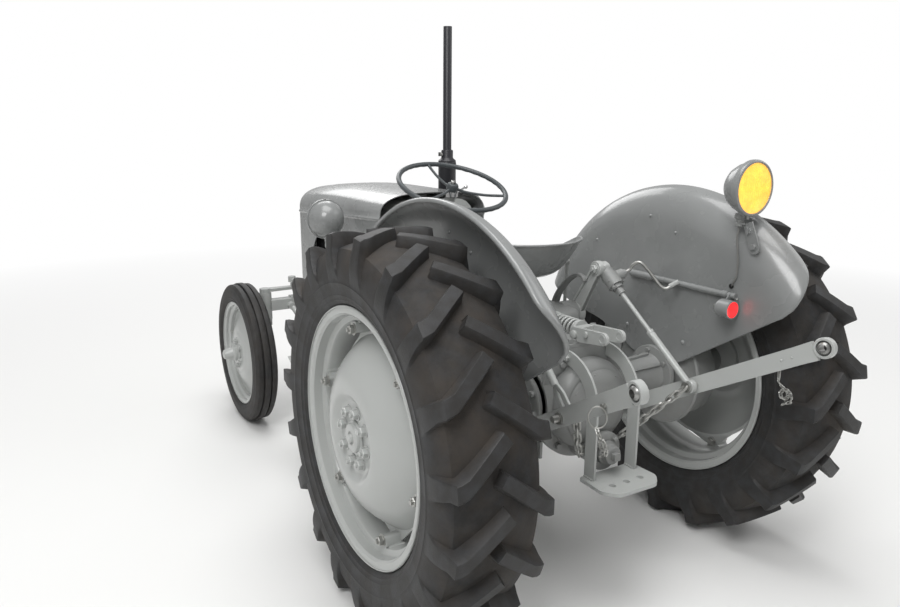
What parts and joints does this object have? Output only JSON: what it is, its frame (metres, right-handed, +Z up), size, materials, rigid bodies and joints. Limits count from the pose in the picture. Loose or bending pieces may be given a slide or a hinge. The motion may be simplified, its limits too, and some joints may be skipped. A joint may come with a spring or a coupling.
{
  "type": "light four-wheel farm tractor, 1940s to 1950s pattern, with a rear three-point linkage",
  "caption": "Small grey farm tractor with lugged rear tyres, dished rear wheels, open seat, upright exhaust and a raised three-point linkage.",
  "frame": {"origin": "on the ground, under the middle of the whole machine's length and width", "axes": "+X to the tractor's right, +Y forward, +Z up"},
  "size_m": [1.571, 2.8375, 1.895],
  "materials": {
    "grey_paint": "gloss",
    "rubber": "matte",
    "black_heat_paint": "satin",
    "steering_rim": "satin",
    "radiator_black": "matte",
    "lamp_shell": "gloss"
  },
  "bodies": {
    "chassis": {"engine_block": "grey_paint", "engine_fittings": "grey_paint", "exhaust_stack": "black_heat_paint", "radiator": "radiator_black", "front_support": "grey_paint", "fuel_tank": "grey_paint", "dash_panel": "grey_paint", "steering_column": "grey_paint", "gearbox": "grey_paint", "controls": "grey_paint", "rear_housing": "grey_paint", "axle_trumpets": "grey_paint", "lift_cover": "grey_paint", "draft_spring": "grey_paint", "shaft_cap": "grey_paint", "drawbar_hitch": "grey_paint", "mudguard_left": "grey_paint", "mudguard_right": "grey_paint", "seat_pan": "grey_paint", "seat_spring": "grey_paint", "footplates": "grey_paint", "work_lamp": "lamp_shell", "tail_lamp": "grey_paint", "headlamps": "lamp_shell", "front_axle": "grey_paint", "radius_rods": "grey_paint"},
    "bonnet": {"bonnet": "grey_paint", "grille": "grey_paint"},
    "steering_wheel": {"steering_wheel": "steering_rim"},
    "drop_arm_left": {"drop_arm_left": "grey_paint"},
    "drag_link_left": {"drag_link_left": "grey_paint"},
    "knuckle_left": {"knuckle_left": "grey_paint"},
    "front_wheel_left": {"front_tyre_left": "rubber", "front_wheel_left": "grey_paint"},
    "rear_wheel_left": {"rear_tyre_left": "rubber", "rear_rim_left": "grey_paint", "rear_disc_left": "grey_paint"},
    "lower_link_left": {"lower_link_left": "grey_paint"},
    "lift_rod_left": {"lift_rod_left": "grey_paint"},
    "drop_arm_right": {"drop_arm_right": "grey_paint"},
    "drag_link_right": {"drag_link_right": "grey_paint"},
    "knuckle_right": {"knuckle_right": "grey_paint"},
    "front_wheel_right": {"front_tyre_right": "rubber", "front_wheel_right": "grey_paint"},
    "rear_wheel_right": {"rear_tyre_right": "rubber", "rear_rim_right": "grey_paint", "rear_disc_right": "grey_paint"},
    "lower_link_right": {"lower_link_right": "grey_paint"},
    "lift_rod_right": {"lift_rod_right": "grey_paint"},
    "lift_arms": {"lift_arms": "grey_paint"}
  },
  "joints": [
    {"name": "steer_left", "type": "hinge", "parent": "chassis", "child": "knuckle_left", "pos_m": [-0.458, 1.07307, 0.572], "axis": [0, 0, 1], "range_deg": [-38, 38]},
    {"name": "steer_right", "type": "hinge", "parent": "chassis", "child": "knuckle_right", "pos_m": [0.458, 1.07307, 0.572], "axis": [0, 0, 1], "range_deg": [-38, 38]},
    {"name": "steering_wheel_turn", "type": "hinge", "parent": "chassis", "child": "steering_wheel", "pos_m": [0, 0.02474, 1.22023], "axis": [0, -0.3518, 0.9361], "range_deg": [-420, 420]},
    {"name": "drop_arm_swing_left", "type": "hinge", "parent": "chassis", "child": "drop_arm_left", "pos_m": [-0.197, 0.22007, 0.79], "axis": [1, 0, 0], "range_deg": [-42, 42]},
    {"name": "drag_link_level_left", "type": "hinge", "parent": "drop_arm_left", "child": "drag_link_left", "pos_m": [-0.221, 0.22007, 0.66], "axis": [1, 0, 0], "range_deg": [-42, 42]},
    {"name": "drop_arm_swing_right", "type": "hinge", "parent": "chassis", "child": "drop_arm_right", "pos_m": [0.197, 0.22007, 0.79], "axis": [1, 0, 0], "range_deg": [-42, 42]},
    {"name": "drag_link_level_right", "type": "hinge", "parent": "drop_arm_right", "child": "drag_link_right", "pos_m": [0.221, 0.22007, 0.66], "axis": [1, 0, 0], "range_deg": [-42, 42]},
    {"name": "front_wheel_spin_left", "type": "hinge", "parent": "knuckle_left", "child": "front_wheel_left", "pos_m": [-0.567, 1.07307, 0.345], "axis": [1, 0, 0], "continuous": true},
    {"name": "rear_wheel_spin_left", "type": "hinge", "parent": "chassis", "child": "rear_wheel_left", "pos_m": [-0.6375, -0.70493, 0.59], "axis": [1, 0, 0], "continuous": true},
    {"name": "front_wheel_spin_right", "type": "hinge", "parent": "knuckle_right", "child": "front_wheel_right", "pos_m": [0.567, 1.07307, 0.345], "axis": [1, 0, 0], "continuous": true},
    {"name": "rear_wheel_spin_right", "type": "hinge", "parent": "chassis", "child": "rear_wheel_right", "pos_m": [0.6375, -0.70493, 0.59], "axis": [1, 0, 0], "continuous": true},
    {"name": "lift_raise", "type": "hinge", "parent": "chassis", "child": "lift_arms", "pos_m": [0, -0.53493, 0.805], "axis": [1, 0, 0], "range_deg": [0, 60]},
    {"name": "link_swing_left", "type": "hinge", "parent": "chassis", "child": "lower_link_left", "pos_m": [-0.19, -0.64493, 0.448], "axis": [1, 0, 0], "range_deg": [0, 32.73]},
    {"name": "lift_rod_swing_left", "type": "hinge", "parent": "lift_arms", "child": "lift_rod_left", "pos_m": [-0.212, -0.64216, 0.98206], "axis": [1, 0, 0], "range_deg": [-52.72, 0]},
    {"name": "link_swing_right", "type": "hinge", "parent": "chassis", "child": "lower_link_right", "pos_m": [0.19, -0.64493, 0.448], "axis": [1, 0, 0], "range_deg": [0, 32.73]},
    {"name": "lift_rod_swing_right", "type": "hinge", "parent": "lift_arms", "child": "lift_rod_right", "pos_m": [0.212, -0.64216, 0.98206], "axis": [1, 0, 0], "range_deg": [-52.72, 0]},
    {"name": "bonnet_tilt", "type": "hinge", "parent": "chassis", "child": "bonnet", "pos_m": [0, 1.12007, 0.606], "axis": [-1, 0, 0], "range_deg": [0, 60]}
  ],
  "couplings": [
    {"joint": "steer_right", "follows": "steer_left", "ratio": 1},
    {"joint": "steering_wheel_turn", "follows": "steer_left", "ratio": 11},
    {"joint": "drop_arm_swing_left", "follows": "steer_left", "ratio": 1.1},
    {"joint": "drag_link_level_left", "follows": "steer_left", "ratio": -1.1},
    {"joint": "drop_arm_swing_right", "follows": "steer_left", "ratio": -1.1},
    {"joint": "drag_link_level_right", "follows": "steer_left", "ratio": 1.1},
    {"joint": "link_swing_left", "follows": "lift_raise", "ratio": 0.5205},
    {"joint": "lift_rod_swing_left", "follows": "lift_raise", "ratio": -0.8537},
    {"joint": "link_swing_right", "follows": "lift_raise", "ratio": 0.5205},
    {"joint": "lift_rod_swing_right", "follows": "lift_raise", "ratio": -0.8537}
  ]
}
